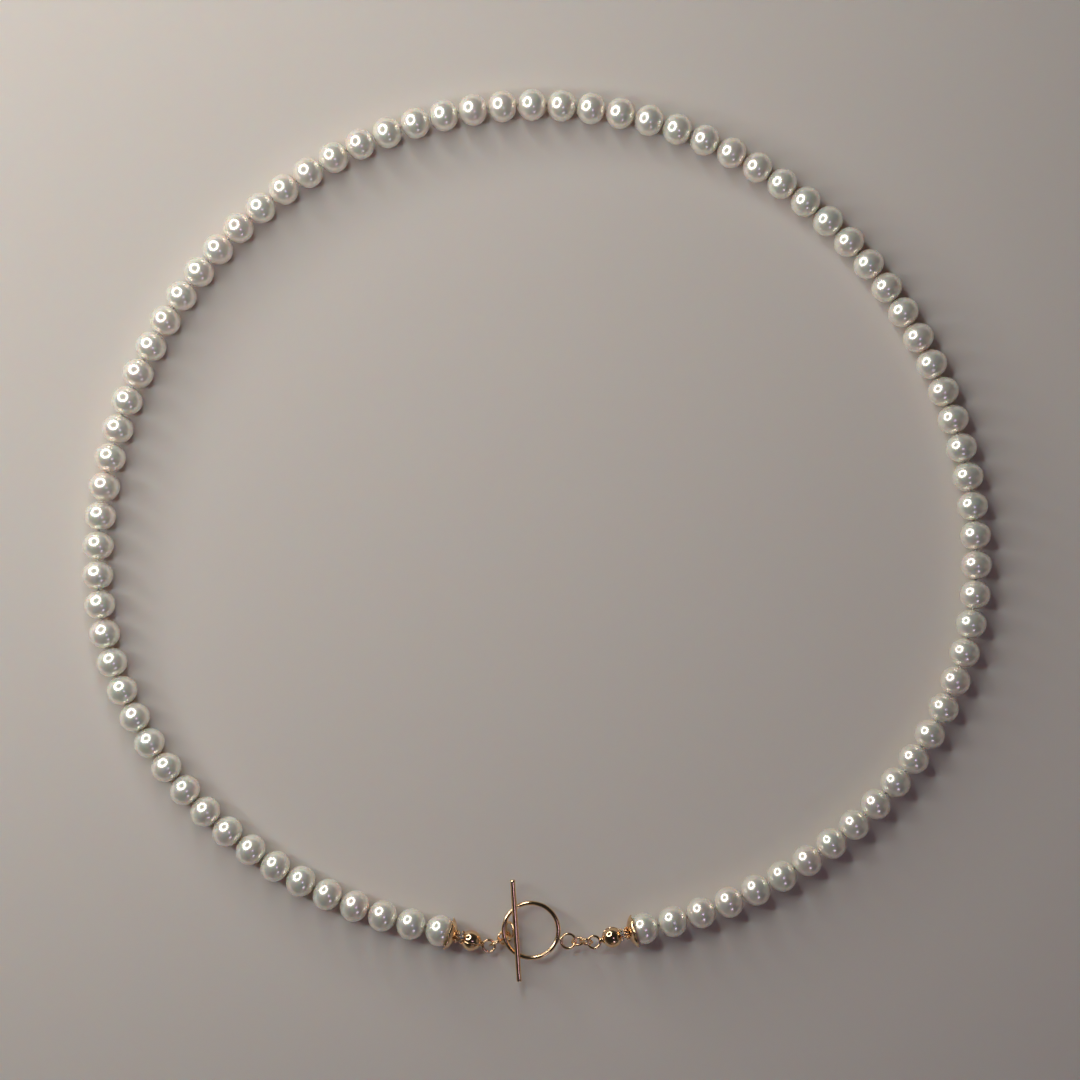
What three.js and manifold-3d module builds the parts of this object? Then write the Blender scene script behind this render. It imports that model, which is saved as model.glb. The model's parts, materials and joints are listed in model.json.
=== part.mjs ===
// Single-strand pearl necklace, fastened with a bar-and-ring toggle clasp and lying flat.
// Units are millimetres, +Z is up, and the pearls rest on z = 0.
import * as THREE from 'three';
import { mergeVertices } from 'three/addons/utils/BufferGeometryUtils.js';
import Module from 'manifold-3d';

const wasm = await Module();
wasm.setup();

// ---- Driving dimensions ----
const PEARL_COUNT = 85;
const PEARL_RADIUS = 2.4; // across the strand
const PEARL_GAP = 0.25; // between neighbouring pearls that are free to bend
const BORE_RADIUS = 0.5; // drilled hole, eased for the wire to flex in
const PEARL_SIDES = 8; // facets round a pearl, one of them facing straight down
const NECK_RADIUS = 1.0; // where two pearls of a pair are joined

const WIRE_RADIUS = 0.18; // beading wire
const WIRE_SIDES = 6;

const CAP_LIFT = 0.28; // the cap rims hold the ends of the strand off the surface
const LIFT_PEARLS = 4; // over which the strand rises to the caps

const TIP_REACH = 7.85; // end pearl's centre to the middle of the bead tip's loop
const BALL_REACH = 5.0; // end pearl's centre to the middle of the clamshell ball
const BALL_RADIUS = 1.6;
const BALL_WALL = 0.3;
const TIP_LOOP_RADIUS = 0.92; // to the middle of its wire
const LINK_WIRE = 0.2; // wire radius of every small loop and jump ring

const RING_RADIUS = 4.15; // toggle ring, to the middle of its wire
const RING_WIRE = 0.35;
const RING_LOOP_RADIUS = 1.1;
const BAR_LENGTH = 15.4;
const BAR_RADIUS = 0.4;
const BAR_LOOP_RADIUS = 1.175;

// The strand lies in an egg-shaped oval: two half ellipses of one width, joined where it is widest.
const OVAL_HALF_WIDTH = 66.5;
const OVAL_UPPER_HEIGHT = 70;
const OVAL_LOWER_HEIGHT = 56.3;
const OVAL_WIDEST_Y = -5;
const LEFT_END_X = -14.7; // the end pearls, one on each side of the clasp
const RIGHT_END_X = 16.2;

// ---- Colours ----
const pearlMaterial = new THREE.MeshStandardMaterial({ color: 0xe9e2d6, roughness: 0.22, metalness: 0.05 });
const goldMaterial = new THREE.MeshStandardMaterial({ color: 0xd9a441, roughness: 0.18, metalness: 1 });
const wireMaterial = new THREE.MeshStandardMaterial({ color: 0xb9b6ae, roughness: 0.4, metalness: 0.8 });

const necklace = new THREE.Group();

// ---- Solids ----

// A closed three.js geometry as a solid that can be joined or cut.
function toSolid(geometry, matrix = new THREE.Matrix4()) {
  const plain = (geometry.index ? geometry.toNonIndexed() : geometry.clone()).applyMatrix4(matrix);
  plain.deleteAttribute('normal');
  plain.deleteAttribute('uv');
  const merged = mergeVertices(plain, 1e-4);
  const vertProperties = merged.attributes.position.array;
  const corners = merged.index.array;
  const triVerts = [];
  for (let i = 0; i < corners.length; i += 3) {
    const [a, b, c] = corners.slice(i, i + 3);
    const hasArea = a !== b && b !== c && c !== a;
    if (hasArea) triVerts.push(a, b, c);
  }
  return new wasm.Manifold(new wasm.Mesh({ numProp: 3, vertProperties, triVerts: new Uint32Array(triVerts) }));
}

// The geometry of a joined solid.
function toGeometry(solid) {
  const mesh = solid.getMesh();
  const geometry = new THREE.BufferGeometry();
  geometry.setAttribute('position', new THREE.BufferAttribute(mesh.vertProperties, 3));
  geometry.setIndex(new THREE.BufferAttribute(mesh.triVerts, 1));
  return geometry;
}

// A profile of [radius, height] pairs, closed on itself, turned about Y with a facet facing +Z.
function turned(profile, sides) {
  const outline = [...profile, profile[0]].map(([radius, height]) => new THREE.Vector2(radius, height));
  return new THREE.LatheGeometry(outline, sides, Math.PI / sides);
}

// A closed ring of round wire in the local XY plane.
function wireRing(radius, wire, steps, sides = 6) {
  return new THREE.TorusGeometry(radius, wire, sides, steps);
}

// A frame at a point whose Y axis runs along a direction and whose Z axis leans as near +Z as it can.
function frameAlong(origin, direction) {
  const y = direction.clone().normalize();
  const x = y.clone().cross(new THREE.Vector3(0, 0, 1)).normalize();
  const z = x.clone().cross(y);
  return new THREE.Matrix4().makeBasis(x, y, z).setPosition(origin);
}

// A frame at a point whose Z axis is a ring's axis.
function frameFacing(origin, axis) {
  const turn = new THREE.Quaternion().setFromUnitVectors(new THREE.Vector3(0, 0, 1), axis.clone().normalize());
  return new THREE.Matrix4().makeRotationFromQuaternion(turn).setPosition(origin);
}

function addPart(name, geometry, material, frame) {
  const mesh = new THREE.Mesh(geometry, material);
  mesh.name = name;
  frame.decompose(mesh.position, mesh.quaternion, mesh.scale);
  necklace.add(mesh);
  return mesh;
}

// ---- Strand layout ----

// From the left end pearl, over the top and down to the right end pearl.
class StrandRoute extends THREE.Curve {
  getPoint(share, target = new THREE.Vector3()) {
    const start = 2 * Math.PI - Math.acos(LEFT_END_X / OVAL_HALF_WIDTH);
    const finish = -Math.acos(RIGHT_END_X / OVAL_HALF_WIDTH);
    const angle = THREE.MathUtils.lerp(start, finish, share);
    const height = Math.sin(angle) > 0 ? OVAL_UPPER_HEIGHT : OVAL_LOWER_HEIGHT;
    const x = OVAL_HALF_WIDTH * Math.cos(angle);
    return target.set(x, OVAL_WIDEST_Y + height * Math.sin(angle), PEARL_RADIUS);
  }
}

const strand = new StrandRoute();
strand.arcLengthDivisions = 4000;
const PITCH = strand.getLength() / (PEARL_COUNT - 1);

// Pearl centres and bore directions, numbered from the left bead cap.
const pearls = [];
for (let i = 0; i < PEARL_COUNT; i += 1) {
  const u = i / (PEARL_COUNT - 1);
  const fromEnd = Math.min(i, PEARL_COUNT - 1 - i);
  const centre = strand.getPointAt(u);
  centre.z += CAP_LIFT * Math.max(0, 1 - fromEnd / LIFT_PEARLS);
  pearls.push({ centre, direction: strand.getTangentAt(u) });
}
const LAST = PEARL_COUNT - 1;
const TOP = LAST / 2;

// ---- Pearls ----

// Half a pearl's outline, from beside its bore to its widest ring, as shares of its radius and half length.
const PEARL_OUTLINE = [[0.76, 0.66], [1, 0.24]];
const HALF_LENGTH = (PITCH - PEARL_GAP) / 2;

// The outline of one whole pearl drilled along Y, centred at a height. The corners stand out beyond
// the pearl's radius, so that its facets are a full radius away.
function pearlOutline(centre) {
  const corner = PEARL_RADIUS / Math.cos(Math.PI / PEARL_SIDES);
  const half = PEARL_OUTLINE.map(([radius, height]) => [radius * corner, height * HALF_LENGTH]);
  const lower = half.map(([radius, height]) => [radius, centre - height]);
  const upper = half.reverse().map(([radius, height]) => [radius, centre + height]);
  return [...lower, ...upper];
}

const onePearl = turned(
  [[BORE_RADIUS, -HALF_LENGTH], ...pearlOutline(0), [BORE_RADIUS, HALF_LENGTH]], PEARL_SIDES);

function addPearl(name, index) {
  const { centre, direction } = pearls[index];
  addPart(name, onePearl, pearlMaterial, frameAlong(centre, direction));
}

// Two neighbouring pearls as one solid, joined by a short drilled neck. Each pearl is turned about its
// own centre until its bore follows the strand.
function addPearlPair(name, first, second) {
  const pair = [pearls[Math.min(first, second)], pearls[Math.max(first, second)]];
  const chord = pair[1].centre.clone().sub(pair[0].centre);
  const reach = chord.length() / 2;
  const frame = frameAlong(pair[0].centre.clone().addScaledVector(chord, 0.5), chord);
  const geometry = turned([
    [BORE_RADIUS, -reach - HALF_LENGTH], ...pearlOutline(-reach), [NECK_RADIUS, 0],
    ...pearlOutline(reach), [BORE_RADIUS, reach + HALF_LENGTH], [BORE_RADIUS, 0],
  ], PEARL_SIDES);
  const bends = pair.map(({ direction }) => Math.asin(
    THREE.MathUtils.clamp(chord.clone().normalize().cross(direction).z, -1, 1)));
  const position = geometry.attributes.position;
  const upright = new THREE.Vector3(0, 0, 1);
  for (let i = 0; i < position.count; i += 1) {
    const point = new THREE.Vector3().fromBufferAttribute(position, i);
    if (point.y === 0) continue;
    const centre = new THREE.Vector3(0, Math.sign(point.y) * reach, 0);
    point.sub(centre).applyAxisAngle(upright, bends[point.y > 0 ? 1 : 0]).add(centre);
    position.setXYZ(i, point.x, point.y, point.z);
  }
  addPart(name, geometry, pearlMaterial, frame);
}

// From the top pearl down each side: twenty pairs, then two single pearls next to the cap.
const PAIRS_PER_SIDE = 20;
addPearl('pearl_top', TOP);
for (const [side, step] of [['left', -1], ['right', 1]]) {
  for (let pair = 1; pair <= PAIRS_PER_SIDE; pair += 1) {
    const first = TOP + step * (2 * pair - 1);
    addPearlPair(`pearl_pair_${side}_${String(pair).padStart(2, '0')}`, first, first + step);
  }
  addPearl(`pearl_${side}_21`, TOP + step * 41);
  addPearl(`pearl_${side}_22`, TOP + step * 42);
}

// ---- Strand ends: bead cap, crimp bead and clamshell bead tip ----

// Each end points from its last pearl to the clasp, dipping below level in plan, and may droop on the way.
function endHeading(side, dipDegrees) {
  const dip = THREE.MathUtils.degToRad(dipDegrees);
  return new THREE.Vector3(side * Math.cos(dip), -Math.sin(dip), 0);
}

const ends = {
  left: { pearl: pearls[0].centre, heading: endHeading(1, 18), droop: 0.9 },
  right: { pearl: pearls[LAST].centre, heading: endHeading(-1, 15), droop: 0 },
};
for (const end of Object.values(ends)) {
  end.loop = end.pearl.clone().addScaledVector(end.heading, TIP_REACH);
  end.loop.z -= end.droop;
  end.axis = end.loop.clone().sub(end.pearl).normalize();
}

// A shallow flared cap over the end pearl, drilled for the wire, with a raised hub towards the clasp.
function capGeometry() {
  return turned([
    [0.42, 2.5], [2.0, 1.95], [2.5, 1.42], [2.65, 1.45], [2.3, 2.0], [0.95, 2.75], [0.8, 3.2], [0.42, 3.2],
  ], 12);
}

// The clamshell's hollow ball, open towards the pearls, with a flat loop on a short stem beyond it.
function tipSolid() {
  const outer = [];
  const inner = [];
  const arcSteps = 6;
  const mouth = 0.32; // radians from the axis to the edge of the wire's opening
  for (let i = 0; i <= arcSteps; i += 1) {
    const angle = mouth + (Math.PI - mouth) * (i / arcSteps);
    const point = (radius) => [radius * Math.sin(angle), BALL_REACH - radius * Math.cos(angle)];
    outer.push(point(BALL_RADIUS));
    inner.unshift(point(BALL_RADIUS - BALL_WALL));
  }
  const ball = turned([...outer, ...inner], 12);
  const stemStart = BALL_REACH + BALL_RADIUS - BALL_WALL / 2;
  const stemEnd = TIP_REACH - TIP_LOOP_RADIUS;
  const stem = new THREE.CylinderGeometry(0.25, 0.25, stemEnd - stemStart, 8);
  const loop = wireRing(TIP_LOOP_RADIUS, LINK_WIRE, 16);
  return toSolid(ball)
    .add(toSolid(stem, new THREE.Matrix4().setPosition(0, (stemStart + stemEnd) / 2, 0)))
    .add(toSolid(loop, new THREE.Matrix4().setPosition(0, TIP_REACH, 0)));
}

// The crushed bead inside the ball, which keeps the wire from pulling out.
function crimpGeometry() {
  const half = 0.55;
  const bore = WIRE_RADIUS + 0.1;
  return turned([[bore, -half], [0.85, -half], [0.85, half], [bore, half]], 8);
}

for (const [side, end] of Object.entries(ends)) {
  addPart(`bead_cap_${side}`, capGeometry(), goldMaterial, frameAlong(end.pearl, end.heading));
  addPart(`bead_tip_${side}`, toGeometry(tipSolid()), goldMaterial, frameAlong(end.pearl, end.axis));
  const ballCentre = end.pearl.clone().addScaledVector(end.axis, BALL_REACH);
  addPart(`crimp_bead_${side}`, crimpGeometry(), goldMaterial, frameAlong(ballCentre, end.axis));
}

// ---- Clasp: toggle ring and bar, and two jump rings on each side ----

const ringCentre = new THREE.Vector3(-0.9, -59.94, 2.0);
const ringLoopDirection = new THREE.Vector3(Math.cos(0.28), -Math.sin(0.28), 0);
const ringLoopReach = RING_RADIUS + RING_WIRE + LINK_WIRE + RING_LOOP_RADIUS + 0.07;
const ringLoopCentre = ringCentre.clone().addScaledVector(ringLoopDirection, ringLoopReach);
const up = new THREE.Vector3(0, 0, 1);
addPart('toggle_ring', wireRing(RING_RADIUS, RING_WIRE, 32, 8), goldMaterial, frameFacing(ringCentre, up));
addPart('toggle_ring_loop', wireRing(RING_LOOP_RADIUS, LINK_WIRE, 16), goldMaterial,
  frameFacing(ringLoopCentre, up));

// The bar lies across the ring, and its loop hangs below it, leaning towards the left strand.
const barDirection = new THREE.Vector3(-0.0645, 0.998, 0).normalize();
const barCentre = new THREE.Vector3(-3.18, -59.9, ringCentre.z + RING_WIRE + BAR_RADIUS + 0.06);
const hang = new THREE.Vector3(-0.53, 0, -0.848);
hang.addScaledVector(barDirection, -hang.dot(barDirection)).normalize();
const barLoopReach = BAR_RADIUS + LINK_WIRE + BAR_LOOP_RADIUS + 0.05;
const barLoopCentre = barCentre.clone().addScaledVector(hang, barLoopReach);
addPart('toggle_bar', new THREE.CylinderGeometry(BAR_RADIUS, BAR_RADIUS, BAR_LENGTH, 12), goldMaterial,
  frameAlong(barCentre, barDirection));
addPart('toggle_bar_loop', wireRing(BAR_LOOP_RADIUS, LINK_WIRE, 16), goldMaterial,
  frameFacing(barLoopCentre, hang.clone().cross(barDirection)));

// Each side has two jump rings on the line from its bead tip's loop to the clasp wire that it hooks on.
// Their centres are measured along that line from either end, and each is turned about it from upright.
const hookAngle = THREE.MathUtils.degToRad(50); // round the bar's loop, from where it hangs lowest
const barHook = barLoopCentre.clone()
  .addScaledVector(hang, BAR_LOOP_RADIUS * Math.cos(hookAngle))
  .addScaledVector(barDirection, -BAR_LOOP_RADIUS * Math.sin(hookAngle));
const towardsRightTip = ends.right.loop.clone().sub(ringLoopCentre).setZ(0).normalize();
const ringHook = ringLoopCentre.clone().addScaledVector(towardsRightTip, RING_LOOP_RADIUS);
const JUMP_RINGS = {
  right: { hook: ringHook, radius: 0.9, fromTip: 1.2, fromHook: 0.4, turns: [30, -30] },
  left: { hook: barHook, radius: 1.0, fromTip: 1.2, fromHook: 0.55, turns: [0, 110] },
};
for (const [side, { hook, radius, fromTip, fromHook, turns }] of Object.entries(JUMP_RINGS)) {
  const tip = ends[side].loop;
  const line = hook.clone().sub(tip).normalize();
  const level = up.clone().cross(line).normalize();
  const centres = [tip.clone().addScaledVector(line, fromTip), hook.clone().addScaledVector(line, -fromHook)];
  centres.forEach((centre, i) => {
    const axis = level.clone().applyAxisAngle(line, THREE.MathUtils.degToRad(turns[i]));
    const ring = wireRing(radius, LINK_WIRE, 16);
    addPart(`jump_ring_${side}_${i + 1}`, ring, goldMaterial, frameFacing(centre, axis));
  });
}

// ---- Stringing wire, from crimp to crimp through every pearl ----

const wireStart = ends.left.pearl.clone().addScaledVector(ends.left.axis, BALL_REACH + 0.7);
const wireEnd = ends.right.pearl.clone().addScaledVector(ends.right.axis, BALL_REACH + 0.7);
const stops = [wireStart, ...pearls.map(({ centre }) => centre), wireEnd];
const wireSection = new THREE.Shape();
for (let i = 0; i < WIRE_SIDES; i += 1) {
  const angle = (2 * Math.PI * i) / WIRE_SIDES;
  const corner = [WIRE_RADIUS * Math.cos(angle), WIRE_RADIUS * Math.sin(angle)];
  if (i === 0) wireSection.moveTo(...corner);
  else wireSection.lineTo(...corner);
}
wireSection.closePath();
const wireCurve = new THREE.CatmullRomCurve3(stops, false, 'centripetal');
wireCurve.arcLengthDivisions = 4000;
const wireGeometry = new THREE.ExtrudeGeometry(wireSection, { steps: 88, extrudePath: wireCurve });
addPart('stringing_wire', wireGeometry, wireMaterial, new THREE.Matrix4());

// The origin is on the surface that the pearls rest on, under the middle of the necklace's outline.
const bounds = new THREE.Box3().setFromObject(necklace, true);
const middle = bounds.getCenter(new THREE.Vector3());
necklace.position.set(-middle.x, -middle.y, -bounds.min.z);

export default necklace;
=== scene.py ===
"""The looks of a pearl necklace with a toggle clasp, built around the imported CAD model. Metres, +Z up."""
import json
import math

import bmesh
import bpy
import numpy as np
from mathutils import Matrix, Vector, noise


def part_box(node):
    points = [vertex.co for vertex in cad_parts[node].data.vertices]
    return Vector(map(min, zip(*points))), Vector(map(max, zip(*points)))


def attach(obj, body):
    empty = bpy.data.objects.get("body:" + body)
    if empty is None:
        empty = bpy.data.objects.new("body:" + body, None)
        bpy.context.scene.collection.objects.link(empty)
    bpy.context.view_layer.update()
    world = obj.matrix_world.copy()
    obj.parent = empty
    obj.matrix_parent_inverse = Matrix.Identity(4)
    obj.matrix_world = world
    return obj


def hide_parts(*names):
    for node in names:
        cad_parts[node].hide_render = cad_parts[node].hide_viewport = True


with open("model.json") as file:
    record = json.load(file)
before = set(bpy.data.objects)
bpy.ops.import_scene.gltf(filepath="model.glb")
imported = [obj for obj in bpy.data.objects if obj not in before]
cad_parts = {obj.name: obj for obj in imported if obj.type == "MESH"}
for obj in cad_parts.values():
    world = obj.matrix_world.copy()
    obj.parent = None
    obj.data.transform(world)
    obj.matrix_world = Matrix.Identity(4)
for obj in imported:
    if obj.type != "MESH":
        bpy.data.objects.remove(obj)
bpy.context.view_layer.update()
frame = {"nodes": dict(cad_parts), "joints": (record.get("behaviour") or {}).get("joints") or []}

MM = 0.001

# ---- Sizes (metres) ----
PEARL_SIDES = 48  # round a pearl
PEARL_RINGS = 26  # from one end of a pearl to the other
PEARL_SPACE = 0.09 * MM  # left between neighbouring pearls
DRILL_RADIUS = 0.32 * MM
WIRE_RADIUS = 0.19 * MM
LINK_WIRE = 0.195 * MM  # small loops and jump rings
RING_WIRE = 0.35 * MM
TIP_LOOP_RADIUS = 0.92 * MM  # to the middle of its wire
BAR_RADIUS = 0.4 * MM
BALL_RADIUS = 1.58 * MM  # the clamshell
BALL_REACH = 5.0 * MM  # from the end pearl's centre
LOOP_REACH = 7.85 * MM  # from the end pearl's centre

# ---- Counts ----
PAIRS_PER_SIDE = 20
CAP_PETALS = 8

# ---- Mesh helpers ----


def unit(vector):
    return np.asarray(vector, float) / np.linalg.norm(vector)


def frame_along(direction, up=(0, 0, 1)):
    """Three unit vectors: across, up and along a direction."""
    along = unit(direction)
    across = unit(np.cross(along, up))
    return across, np.cross(across, along), along


def add_mesh(name, vertices, faces, material, smooth=True):
    mesh = bpy.data.meshes.new(name)
    mesh.from_pydata([tuple(v) for v in vertices], [], faces)
    mesh.validate()
    bm = bmesh.new()
    bm.from_mesh(mesh)
    bmesh.ops.remove_doubles(bm, verts=bm.verts, dist=1e-7)
    bmesh.ops.recalc_face_normals(bm, faces=bm.faces)
    bm.to_mesh(mesh)
    bm.free()
    if smooth:
        mesh.polygons.foreach_set("use_smooth", [True] * len(mesh.polygons))
    piece = bpy.data.objects.new(name, mesh)
    bpy.context.scene.collection.objects.link(piece)
    mesh.materials.append(material)
    return piece


def grid_faces(rows, columns, close_rows=False, close_columns=True):
    """Quads over a grid of vertices that is stored row by row."""
    faces = []
    for i in range(rows if close_rows else rows - 1):
        for j in range(columns if close_columns else columns - 1):
            a, b = i * columns + j, i * columns + (j + 1) % columns
            shift = ((i + 1) % rows - i) * columns
            faces.append((a, b, b + shift, a + shift))
    return faces


def turned(centre, axis, profile, sides, warp=None):
    """A closed profile of (radius, distance along the axis) pairs turned about an axis through a centre."""
    across, up, along = frame_along(axis)
    vertices = []
    for radius, distance in profile:
        for k in range(sides):
            angle = 2 * math.pi * k / sides
            r, d = warp(radius, distance, angle) if warp else (radius, distance)
            side = math.cos(angle) * across + math.sin(angle) * up
            vertices.append(np.asarray(centre) + r * side + d * along)
    return vertices, grid_faces(len(profile), sides, close_rows=True)


def sweep(points, radius, sides, closed=False, tip=0.0):
    """A round wire along points. Its ends are flat, with their edges eased by tip."""
    points = [np.asarray(p, float) for p in points]
    count = len(points)
    if closed:
        tangents = [unit(points[(i + 1) % count] - points[i - 1]) for i in range(count)]
    else:
        tangents = [unit(points[min(i + 1, count - 1)] - points[max(i - 1, 0)]) for i in range(count)]
    stations = [(p, t, radius) for p, t in zip(points, tangents)]
    if not closed and tip:
        first, last = stations[0], stations[-1]
        start = [(first[0], first[1], radius - tip), (first[0] + tip * first[1], first[1], radius)]
        end = [(last[0] - tip * last[1], last[1], radius), (last[0], last[1], radius - tip)]
        stations = start + stations[1:-1] + end
    across = unit(np.cross(stations[0][1], (0.37, 0.21, 0.9)))
    vertices = []
    for point, tangent, r in stations:
        across = unit(across - across.dot(tangent) * tangent)
        up = np.cross(tangent, across)
        for k in range(sides):
            angle = 2 * math.pi * k / sides
            vertices.append(point + r * (math.cos(angle) * across + math.sin(angle) * up))
    faces = grid_faces(len(stations), sides, close_rows=closed)
    if not closed:
        faces.append(tuple(range(sides)))
        faces.append(tuple(range(len(vertices) - sides, len(vertices))))
    return vertices, faces


def arc_points(centre, axis, radius, start, turn, steps):
    """Points round a circle about an axis, from an angle through a turn."""
    first = np.cross(axis, (0, 0, 1)) if abs(axis[2]) < 0.9 else np.cross(axis, (1, 0, 0))
    u = unit(first)
    v = np.cross(axis, u)
    angles = [start + turn * i / steps for i in range(steps + 1)]
    return [np.asarray(centre) + radius * (math.cos(a) * u + math.sin(a) * v) for a in angles]


def joined(*solids):
    """Several lists of vertices and faces as one."""
    vertices, faces = [], []
    for some_vertices, some_faces in solids:
        faces += [tuple(i + len(vertices) for i in face) for face in some_faces]
        vertices += list(some_vertices)
    return vertices, faces


def ball(centre, radius, rings=8, sides=12):
    """A small round granule."""
    profile = [(0.02 * radius, -radius)]
    for i in range(1, rings):
        angle = math.pi * i / rings
        profile.append((radius * math.sin(angle), -radius * math.cos(angle)))
    profile.append((0.02 * radius, radius))
    vertices, faces = turned(centre, (1, 0, 0), profile, sides)
    return vertices, [f for f in faces if max(f) - min(f) < len(vertices) - sides]


# ---- Places, from the frame ----


def node_vertices(node):
    return np.array([v.co for v in frame["nodes"][node].data.vertices])


def box_centre(node):
    low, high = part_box(node)
    return np.array((low + high) / 2)


def principal_axes(vertices):
    """Unit vectors from the direction of least spread to the direction of most."""
    spread, vectors = np.linalg.eigh(np.cov((vertices - vertices.mean(0)).T))
    return vectors.T[np.argsort(spread)]


def pair_centres(node):
    """The middles of a pair's two pearls: each is the middle of its own widest rings."""
    vertices = node_vertices(node)
    middle = box_centre(node)
    along = principal_axes(vertices)[2]
    offset = vertices - middle
    reach = offset @ along
    radial = np.linalg.norm(offset - np.outer(reach, along), axis=1)
    widest = radial > 0.93 * radial.max()
    return [vertices[widest & (reach * side > 0)].mean(0) for side in (-1, 1)]


def ring_shape(node):
    """Centre, axis and radius (to the middle of the wire) of a wire ring."""
    vertices = np.unique(node_vertices(node).round(7), axis=0)
    centre = vertices.mean(0)
    axis = principal_axes(vertices)[0]
    offset = vertices - centre
    return centre, axis, np.linalg.norm(offset - np.outer(offset @ axis, axis), axis=1).mean()


def strand_side(side):
    """(name, body, node, centre) of each pearl on one side, from the top pearl outwards."""
    found = []
    last = box_centre("pearl_top")
    for number in range(1, PAIRS_PER_SIDE + 1):
        node = f"pearl_pair_{side}_{number:02d}"
        for centre in sorted(pair_centres(node), key=lambda c: np.linalg.norm(c - last)):
            found.append((f"pearl_{side}_{len(found) + 1:02d}", node, node, centre))
        last = found[-1][3]
    for number in (PAIRS_PER_SIDE + 1, PAIRS_PER_SIDE + 2):
        node = f"pearl_{side}_{number}"
        found.append((f"pearl_{side}_{len(found) + 1:02d}_end", node, node, box_centre(node)))
    return found


top = ("pearl_middle", "pearl_top", "pearl_top", box_centre("pearl_top"))
strand = strand_side("left")[::-1] + [top] + strand_side("right")
centres = [pearl[3] for pearl in strand]
PITCH = np.mean([np.linalg.norm(b - a) for a, b in zip(centres, centres[1:])])
PEARL_RADIUS = (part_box("pearl_top")[1].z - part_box("pearl_top")[0].z) / 2
hinges = {joint["child"]: joint for joint in frame["joints"]}


# ---- Materials ----


def new_material(name):
    material = bpy.data.materials.new(name)
    material.use_nodes = True
    tree = material.node_tree
    return material, tree, tree.nodes["Principled BSDF"]


def add_node(tree, kind, **settings):
    made = tree.nodes.new(kind)
    for key, value in settings.items():
        if hasattr(made, key):
            setattr(made, key, value)
        else:
            made.inputs[key.replace("_", " ")].default_value = value
    return made


def colour_ramp(tree, source, stops):
    ramp = add_node(tree, "ShaderNodeValToRGB")
    tree.links.new(source, ramp.inputs["Fac"])
    elements = ramp.color_ramp.elements
    while len(elements) < len(stops):
        elements.new(0.5)
    for element, (position, colour) in zip(elements, stops):
        element.position = position
        element.color = (*colour, 1)
    return ramp.outputs["Color"]


def nacre():
    """Nacre: a soft silvery body under a clear lustrous skin, with faint rose and green overtones."""
    material, tree, shader = new_material("nacre")
    place = add_node(tree, "ShaderNodeTexCoord").outputs["Object"]
    clouds = add_node(tree, "ShaderNodeTexNoise", Scale=190.0, Detail=3.0, Roughness=0.55)
    tree.links.new(place, clouds.inputs["Vector"])
    tint = colour_ramp(tree, clouds.outputs["Fac"], [
        (0.36, (0.91, 0.89, 0.78)), (0.5, (0.97, 0.89, 0.78)), (0.64, (0.99, 0.85, 0.76))])
    tree.links.new(tint, shader.inputs["Base Color"])
    growth = add_node(tree, "ShaderNodeTexNoise", Scale=1500.0, Detail=2.0)
    tree.links.new(place, growth.inputs["Vector"])
    bump = add_node(tree, "ShaderNodeBump", Strength=0.05, Distance=0.00002)
    tree.links.new(growth.outputs["Fac"], bump.inputs["Height"])
    tree.links.new(bump.outputs["Normal"], shader.inputs["Normal"])
    shader.inputs["Metallic"].default_value = 0.52
    shader.inputs["Roughness"].default_value = 0.25
    shader.inputs["Subsurface Weight"].default_value = 0.6
    shader.inputs["Subsurface Radius"].default_value = (1.0, 0.6, 0.34)
    shader.inputs["Subsurface Scale"].default_value = 0.002
    shader.inputs["Coat Weight"].default_value = 1.0
    shader.inputs["Coat Roughness"].default_value = 0.07
    shader.inputs["Coat IOR"].default_value = 1.6
    shader.inputs["Sheen Weight"].default_value = 0.5
    shader.inputs["Sheen Roughness"].default_value = 0.35
    shader.inputs["Sheen Tint"].default_value = (1.0, 0.87, 0.72, 1)
    return material


def gold(name, colour, dark, roughness):
    """Polished yellow gold with fine handling marks."""
    material, tree, shader = new_material(name)
    place = add_node(tree, "ShaderNodeTexCoord").outputs["Object"]
    cloud = add_node(tree, "ShaderNodeTexNoise", Scale=700.0, Detail=4.0)
    tree.links.new(place, cloud.inputs["Vector"])
    tint = colour_ramp(tree, cloud.outputs["Fac"], [(0.3, dark), (0.62, colour)])
    tree.links.new(tint, shader.inputs["Base Color"])
    polish = add_node(tree, "ShaderNodeMapRange")
    polish.inputs["To Min"].default_value = roughness * 0.7
    polish.inputs["To Max"].default_value = roughness * 1.6
    tree.links.new(cloud.outputs["Fac"], polish.inputs["Value"])
    tree.links.new(polish.outputs["Result"], shader.inputs["Roughness"])
    marks = add_node(tree, "ShaderNodeTexNoise", Scale=5200.0, Detail=3.0)
    tree.links.new(place, marks.inputs["Vector"])
    bump = add_node(tree, "ShaderNodeBump", Strength=0.12, Distance=0.00001)
    tree.links.new(marks.outputs["Fac"], bump.inputs["Height"])
    tree.links.new(bump.outputs["Normal"], shader.inputs["Normal"])
    shader.inputs["Metallic"].default_value = 1.0
    return material


def beading_wire():
    """Fine stranded wire, its twist drawn as a diagonal ripple of darker and lighter grey: painted shade in the
    grooves between the strands and painted highlight along them.
    """
    material, tree, shader = new_material("beading_wire")
    place = add_node(tree, "ShaderNodeTexCoord").outputs["Object"]
    strand_shade_ripple = add_node(tree, "ShaderNodeTexWave", Scale=2600.0, Distortion=1.0)
    tree.links.new(place, strand_shade_ripple.inputs["Vector"])
    # Darker grey in the grooves and lighter grey on the strands: painted shade and painted highlight of the
    # twisted wire.
    tint = colour_ramp(tree, strand_shade_ripple.outputs["Fac"], [(0.0, (0.42, 0.41, 0.39)), (1.0, (0.72, 0.71, 0.68))])
    tree.links.new(tint, shader.inputs["Base Color"])
    shader.inputs["Metallic"].default_value = 0.9
    shader.inputs["Roughness"].default_value = 0.38
    return material


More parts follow.
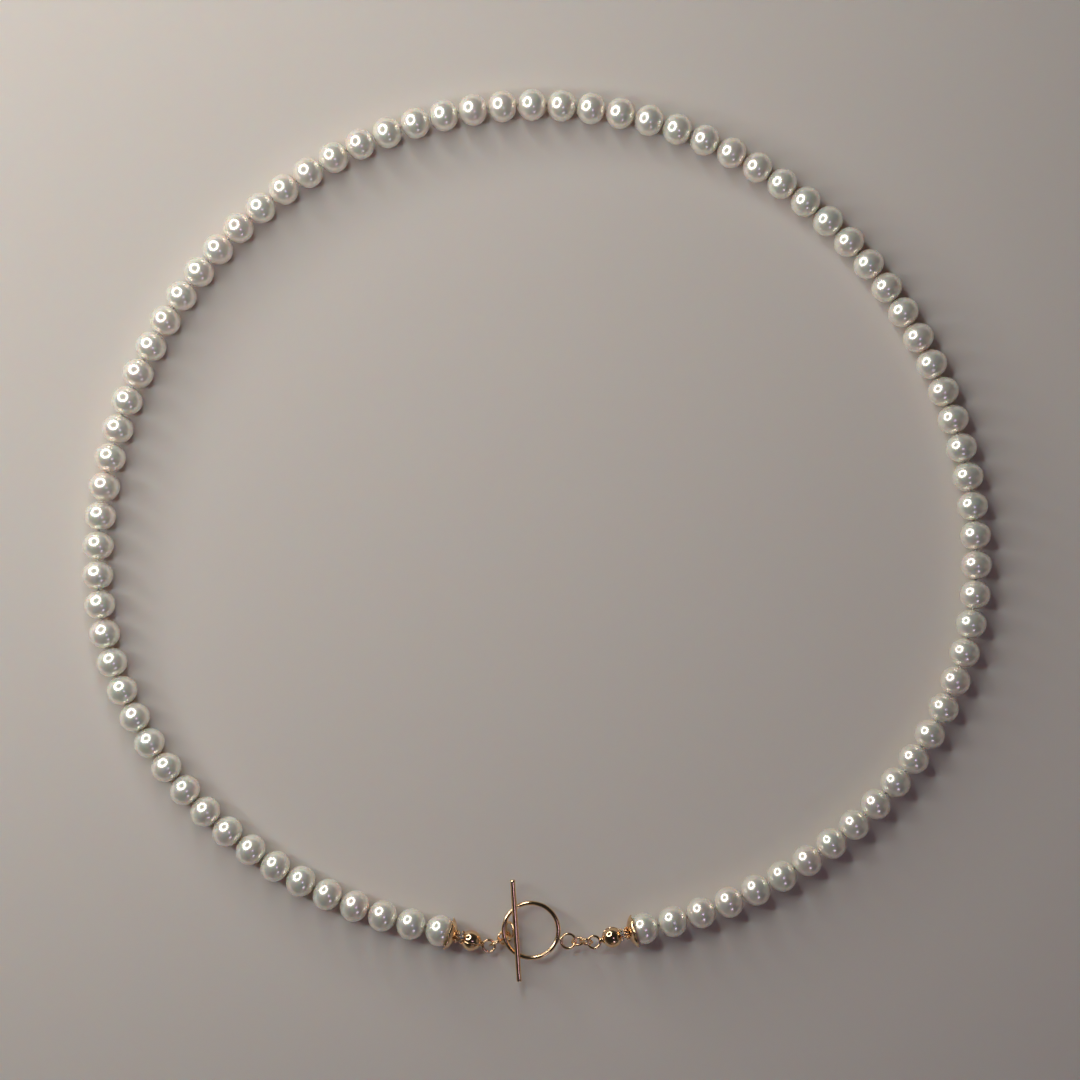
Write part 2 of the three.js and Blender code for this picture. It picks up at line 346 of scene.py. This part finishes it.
NACRE = nacre()
GOLD = gold("polished_gold", (0.93, 0.67, 0.41), (0.74, 0.47, 0.25), 0.11)
# Darker, oranger gold for the parts inside the clamshell: painted shade and warm glow of its hollow.
PAINTED_SHADE_GOLD = gold("inner_gold_painted_shade", (0.90, 0.46, 0.17), (0.62, 0.28, 0.09), 0.26)
WIRE = beading_wire()


def finish_piece(piece, body, node):
    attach(piece, body)
    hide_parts(node)


# ---- Pearls ----


def pearl(name, body, node, centre, direction, seed):
    """A near-round drilled pearl, a little longer across the strand than along it."""
    across, up, along = frame_along(direction)
    size = 0.978 + 0.022 * (0.5 + 0.5 * math.sin(seed * 12.9))
    radius = PEARL_RADIUS * size
    half = (PITCH - PEARL_SPACE) / 2
    rest = np.array(centre) - (PEARL_RADIUS - radius) * np.array((0, 0, 1))
    start = math.asin(DRILL_RADIUS / radius)
    profile = []
    for i in range(PEARL_RINGS + 1):
        angle = start + (math.pi - 2 * start) * i / PEARL_RINGS
        profile.append((math.sin(angle), -math.cos(angle)))
    vertices = []
    for across_share, along_share in profile:
        for k in range(PEARL_SIDES):
            turn = 2 * math.pi * k / PEARL_SIDES
            sideways = math.cos(turn) * across + math.sin(turn) * up
            spot = Vector(across_share * sideways + along_share * along) * 1.6 + Vector((seed, 7.3, 1.1))
            dent = 1 - 0.010 * (0.5 + 0.5 * noise.noise(spot))
            vertices.append(rest + dent * radius * across_share * sideways + half * along_share * along)
    rows = len(profile)
    for across_share, along_share in (profile[-1], profile[0]):
        for k in range(PEARL_SIDES):
            turn = 2 * math.pi * k / PEARL_SIDES
            sideways = math.cos(turn) * across + math.sin(turn) * up
            inside = half * along_share * 0.9
            vertices.append(rest + DRILL_RADIUS * 0.9 * sideways + inside * along)
    faces = grid_faces(rows + 2, PEARL_SIDES, close_rows=True)
    piece = add_mesh(name, vertices, faces, NACRE)
    finish_piece(piece, body, node)


def strand_direction(index):
    before, after = max(index - 1, 0), min(index + 1, len(centres) - 1)
    step = centres[after] - centres[before]
    return unit((step[0], step[1], 0))


for index, (name, body, node, centre) in enumerate(strand):
    pearl(name, body, node, centre, strand_direction(index), index + 1)


# ---- Strand ends ----


def cap(side, centre, axis):
    """A thin flared cap with a scalloped rim, a ring of granules round its hub and a beaded neck."""
    def petal_edge(radius, distance, angle):
        flare = max(0.0, (radius - 1.2 * MM) / (1.45 * MM))
        wave = 0.5 + 0.5 * math.cos(CAP_PETALS * angle)
        return radius * (1 - 0.10 * flare * (1 - wave)), distance - 0.10 * MM * flare * wave

    inner = [(0.45, 2.42), (1.0, 2.36), (1.5, 2.20), (2.0, 1.93), (2.35, 1.62), (2.52, 1.46)]
    outer = [(2.55, 1.50), (2.40, 1.75), (2.05, 2.06), (1.5, 2.33), (1.0, 2.50), (0.62, 2.60), (0.45, 2.62)]
    profile = [(r * MM, d * MM) for r, d in inner + outer]
    solids = [turned(centre, axis, profile, 96, petal_edge)]
    across, up, along = frame_along(axis)
    for count, reach, distance, size in ((9, 0.82, 2.72, 0.22), (6, 0.55, 3.02, 0.2)):
        for k in range(count):
            angle = 2 * math.pi * (k + 0.3) / count
            side_way = math.cos(angle) * across + math.sin(angle) * up
            spot = np.array(centre) + reach * MM * side_way + distance * MM * along
            solids.append(ball(spot, size * MM))
    for k in range(CAP_PETALS):
        angle = 2 * math.pi * k / CAP_PETALS
        side_way = math.cos(angle) * across + math.sin(angle) * up
        spot = np.array(centre) + 2.43 * MM * side_way + 1.44 * MM * along
        solids.append(ball(spot, 0.12 * MM))
    piece = add_mesh(f"bead_cap_{side}_granulated", *joined(*solids), GOLD)
    finish_piece(piece, f"cap_{side}", f"bead_cap_{side}")


def half_shell(centre, axis, start, turn):
    """Half of the clamshell ball: a thin cup, closed round its edges."""
    across, up, along = frame_along(axis)
    wall = 0.16 * MM
    steps, sides = 32, 40
    rows = []
    mouth = math.radians(32)  # from the axis to the edge of the wire's opening
    for radius in (BALL_RADIUS, BALL_RADIUS - wall):
        row = []
        for i in range(steps + 1):
            share = i / steps
            angle = mouth + (math.pi - mouth) * share
            row.append((radius * math.sin(angle), BALL_REACH - radius * math.cos(angle)))
        rows.append(row)
    outline = rows[0] + rows[1][::-1]
    vertices = []
    for k in range(sides + 1):
        angle = start + turn * k / sides
        side_way = math.cos(angle) * across + math.sin(angle) * up
        for radius, distance in outline:
            vertices.append(np.array(centre) + max(radius, 1e-6) * side_way + distance * along)
    width = len(outline)
    faces = grid_faces(sides + 1, width)
    faces.append(tuple(range(width)))
    faces.append(tuple(range(sides * width, (sides + 1) * width)))
    return vertices, faces


def mouth_hook(centre, axis, angle):
    """A small tab at the mouth of the clamshell, curled over towards the strand."""
    across, up, along = frame_along(axis)
    side_way = math.cos(angle) * across + math.sin(angle) * up
    path = [(0.86, 3.78), (0.98, 3.64), (0.96, 3.48), (0.84, 3.40), (0.72, 3.46)]
    points = [np.array(centre) + r * MM * side_way + d * MM * along for r, d in path]
    return sweep(points, 0.11 * MM, 10, tip=0.04 * MM)


def bead_tip(side, centre, axis, seam):
    """A clamshell of two cups with a seam between them, hooks at its mouth, a neck and a flat loop, lined
    inside with a thin cup of darker gold as painted shade.
    """
    gap = 0.05
    shells = [half_shell(centre, axis, seam + gap + k * math.pi, math.pi - 2 * gap) for k in range(2)]
    hooks = [mouth_hook(centre, axis, seam + turn) for turn in (0.6, 2.2, 3.9, 5.4)]
    neck_profile = [(0.05, 6.35), (0.62, 6.42), (0.42, 6.62), (0.30, 6.85), (0.24, 7.05), (0.05, 7.06)]
    neck = turned(centre, axis, [(r * MM, d * MM) for r, d in neck_profile], 24)
    across, up, along = frame_along(axis)
    loop_centre = np.array(centre) + LOOP_REACH * along
    loop_points = arc_points(loop_centre, up, TIP_LOOP_RADIUS, 0, 2 * math.pi, 48)[:-1]
    loop = sweep(loop_points, LINK_WIRE, 14, closed=True)
    piece = add_mesh(f"bead_tip_{side}_clamshell", *joined(*shells, *hooks, neck, loop), GOLD)
    finish_piece(piece, f"tip_{side}", f"bead_tip_{side}")
    # A thin cup of darker, oranger gold just inside the shell: painted shade and warm glow inside the
    # clamshell.
    radius = BALL_RADIUS - 0.17 * MM
    mouth, base = math.radians(36), math.radians(176)
    angles = [mouth + (base - mouth) * i / 24 for i in range(25)]
    outside, inside = [
        [(r * math.sin(a), BALL_REACH - r * math.cos(a)) for a in angles] for r in (radius, radius - 0.05 * MM)]
    vertices, faces = turned(centre, axis, outside + inside[::-1], 40)
    painted_shade_lining = add_mesh(f"bead_tip_{side}_lining", vertices, faces, PAINTED_SHADE_GOLD)
    finish_piece(painted_shade_lining, f"tip_{side}", f"bead_tip_{side}")


def crimp(side, centre, axis):
    """A crushed barrel bead, squeezed flat across its middle."""
    def crushed(radius, distance, angle):
        squeeze = 0.22 * math.exp(-((distance / (0.3 * MM)) ** 2)) * math.cos(angle) ** 2
        return radius * (1 - squeeze), distance

    rings = [(0.24, -0.52), (0.66, -0.5), (0.74, -0.4), (0.78, -0.15), (0.78, 0.15), (0.74, 0.4),
             (0.66, 0.5), (0.24, 0.52)]
    vertices, faces = turned(centre, axis, [(r * MM, d * MM) for r, d in rings], 40, crushed)
    # The crimp sits inside the clamshell, so it takes the same darker gold as painted shade.
    piece = add_mesh(f"crimp_bead_{side}_crushed", vertices, faces, PAINTED_SHADE_GOLD)
    finish_piece(piece, f"tip_{side}", f"crimp_bead_{side}")


for side, end_pearl in (("left", strand[0]), ("right", strand[-1])):
    cap_joint = hinges[f"cap_{side}"]
    cap(side, cap_joint["pos_m"], cap_joint["axis"])
    crimp_centre = box_centre(f"crimp_bead_{side}")
    end_centre = box_centre(f"pearl_{side}_22")
    tip_axis = unit(crimp_centre - end_centre)
    bead_tip(side, end_centre, tip_axis, 1.35 if side == "left" else 0.3)
    crimp(side, crimp_centre, tip_axis)


# ---- Clasp ----


def wire_ring(name, body, node, wire, cut=None, solder=None):
    """A ring of round wire. A jump ring has a fine cut at an angle; a soldered ring has a low blob."""
    centre, axis, radius = ring_shape(node)
    sides = 18
    if cut is None:
        points = arc_points(centre, axis, radius, 0, 2 * math.pi, 96)[:-1]
        solids = [sweep(points, wire, sides, closed=True)]
    else:
        slit = 0.05 * MM / radius
        points = arc_points(centre, axis, radius, cut + slit / 2, 2 * math.pi - slit, 72)
        solids = [sweep(points, wire, sides, tip=0.02 * MM)]
    if solder is not None:
        solids.append(solder)
    piece = add_mesh(name, *joined(*solids), GOLD)
    finish_piece(piece, body, node)
    return centre, axis, radius


def solder_fillet(start, end, radius):
    """A short waisted bridge of solder between two wires that touch."""
    length = np.linalg.norm(np.asarray(end) - start)
    rings = []
    for i in range(9):
        share = i / 8
        waist = 0.62 + 0.38 * (2 * share - 1) ** 2
        rings.append((radius * waist, length * share))
    profile = [(0.02 * radius, 0.0)] + rings + [(0.02 * radius, length)]
    return turned(start, np.asarray(end) - start, profile, 20)


ring_centre, _, ring_radius = ring_shape("toggle_ring")
loop_centre = box_centre("toggle_ring_loop")
to_loop = unit(loop_centre - ring_centre)
ring_solder = solder_fillet(ring_centre + ring_radius * to_loop,
                            ring_centre + (ring_radius + 0.62 * MM) * to_loop, 0.26 * MM)
wire_ring("toggle_ring_round", "toggle_ring", "toggle_ring", RING_WIRE, solder=ring_solder)
wire_ring("toggle_ring_soldered_loop", "toggle_ring", "toggle_ring_loop", LINK_WIRE)
for name, cut in (("right_1", 1.9), ("right_2", 4.2), ("left_1", 1.2), ("left_2", 3.6)):
    wire_ring(f"jump_ring_{name}_cut", f"jump_ring_{name}", f"jump_ring_{name}", LINK_WIRE, cut=cut)

bar_vertices = node_vertices("toggle_bar")
bar_axis = principal_axes(bar_vertices)[2]
bar_centre = box_centre("toggle_bar")
bar_half = np.abs((bar_vertices - bar_centre) @ bar_axis).max()
bar_steps = 40
bar_points = [bar_centre + bar_half * (2 * i / bar_steps - 1) * bar_axis for i in range(bar_steps + 1)]
bar_loop_centre, bar_loop_axis, bar_loop_radius = wire_ring(
    "toggle_bar_soldered_loop", "toggle_bar", "toggle_bar_loop", LINK_WIRE)
to_bar_loop = unit(bar_loop_centre - bar_centre)
bar_solder = solder_fillet(bar_centre, bar_centre + 0.68 * MM * to_bar_loop, 0.3 * MM)
bar_rod = sweep(bar_points, BAR_RADIUS, 28, tip=0.05 * MM)
bar = add_mesh("toggle_bar_cut_ends", *joined(bar_rod, bar_solder), GOLD)
finish_piece(bar, "toggle_bar", "toggle_bar")


# ---- Stringing wire ----


def wire_piece(body, points):
    """The wire inside one body's pearls. Neighbouring pieces meet at the joint between the bodies."""
    vertices, faces = sweep(points, WIRE_RADIUS, 12, tip=0.04 * MM)
    piece = add_mesh(f"stringing_wire_{body}", vertices, faces, WIRE)
    finish_piece(piece, body, "stringing_wire")


groups = []
for _, body, _, centre in strand:
    if groups and groups[-1][0] == body:
        groups[-1][1].append(centre)
    else:
        groups.append((body, [centre]))
meetings = [(a[1][-1] + b[1][0]) / 2 for a, b in zip(groups, groups[1:])]
meetings.insert(0, np.array(hinges["tip_left"]["pos_m"]))
meetings.append(np.array(hinges["tip_right"]["pos_m"]))
for (body, inside), start, end in zip(groups, meetings, meetings[1:]):
    wire_piece(body, [start, *inside, end])
for side, start in (("left", meetings[0]), ("right", meetings[-1])):
    crimp_centre = box_centre(f"crimp_bead_{side}")
    past = unit(crimp_centre - start) * 0.8 * MM
    wire_piece(f"tip_{side}", [start, crimp_centre, crimp_centre + past])

# ---- Floor, light and camera ----


def pale_cloth():
    material, _, shader = new_material("pale_floor")
    shader.inputs["Base Color"].default_value = (0.68, 0.615, 0.56, 1)
    shader.inputs["Subsurface Weight"].default_value = 0.6
    shader.inputs["Subsurface Radius"].default_value = (1.0, 0.5, 0.28)
    shader.inputs["Subsurface Scale"].default_value = 0.0035
    shader.inputs["Roughness"].default_value = 0.85
    shader.inputs["Specular IOR Level"].default_value = 0.15
    return material


def floor():
    half = 1.5
    corners = [(-half, -half, 0), (half, -half, 0), (half, half, 0), (-half, half, 0)]
    piece = add_mesh("floor", corners, [(0, 1, 2, 3)], pale_cloth(), smooth=False)


def disc_light(name, place, target, size, power, colour=(1, 1, 1)):
    light = bpy.data.lights.new(name, "AREA")
    light.shape = "DISK"
    light.size = size
    light.energy = power
    light.color = colour
    lamp = bpy.data.objects.new(name, light)
    lamp.location = place
    lamp.rotation_euler = (Vector(target) - Vector(place)).to_track_quat("-Z", "Y").to_euler()
    bpy.context.scene.collection.objects.link(lamp)


def ring_lamp(centre, radius, lamps, size, power, colour):
    """A studio ring lamp: small discs round a circle that faces the necklace."""
    axis = unit(-np.asarray(centre))
    for k, place in enumerate(arc_points(centre, axis, radius, 0, 2 * math.pi, lamps)[:-1]):
        target = np.asarray(place) + axis
        disc_light(f"ring_lamp_{k}", place, target, size, power / lamps, colour)


def studio_world():
    """A dim room overhead, brighter towards the horizon."""
    world = bpy.data.worlds.new("studio")
    world.use_nodes = True
    tree = world.node_tree
    background = tree.nodes["Background"]
    place = add_node(tree, "ShaderNodeTexCoord").outputs["Generated"]
    split = add_node(tree, "ShaderNodeSeparateXYZ")
    tree.links.new(place, split.inputs["Vector"])
    sky = colour_ramp(tree, split.outputs["Z"], [
        (0.0, (0.62, 0.56, 0.51)), (0.12, (0.30, 0.28, 0.26)),
        (0.45, (0.10, 0.105, 0.10)), (1.0, (0.055, 0.055, 0.062))])
    tree.links.new(sky, background.inputs["Color"])
    background.inputs["Strength"].default_value = 0.28
    bpy.context.scene.world = world


def camera():
    """Straight overhead, with the clasp at the bottom of the picture."""
    lens, sensor = 120.0, 36.0
    field = 163.4 * MM  # width of the view at the height of the strand
    lens_data = bpy.data.cameras.new("camera")
    lens_data.lens = lens
    lens_data.sensor_width = sensor
    lens_data.clip_start = 0.01
    eye = bpy.data.objects.new("camera", lens_data)
    eye.location = (0.45 * MM, -0.73 * MM, PEARL_RADIUS + field * lens / sensor)
    bpy.context.scene.collection.objects.link(eye)
    bpy.context.scene.camera = eye


floor()
studio_world()
origin = (0, 0, 0)
lamp_size = 0.085
bounce_size = 0.26
bounce_power = 0.022
bounce_colour = (1.0, 0.74, 0.62)
ring_lamp((-0.130, 0.107, 0.147), 0.116, 20, 0.036, 0.64, (0.985, 1.0, 0.985))
disc_light("small_lamp_above", (0.145, -0.105, 0.520), origin, lamp_size, 0.075, (0.72, 0.56, 1.0))
disc_light("small_lamp_front", (0.150, -0.330, 0.230), origin, lamp_size, 0.05, (0.80, 0.68, 1.0))
disc_light("warm_bounce_right", (0.420, -0.060, 0.130), origin, bounce_size, bounce_power, bounce_colour)
disc_light("warm_bounce_front", (0.060, -0.420, 0.130), origin, bounce_size, bounce_power, bounce_colour)
bpy.context.scene.view_settings.view_transform = "Standard"
camera()
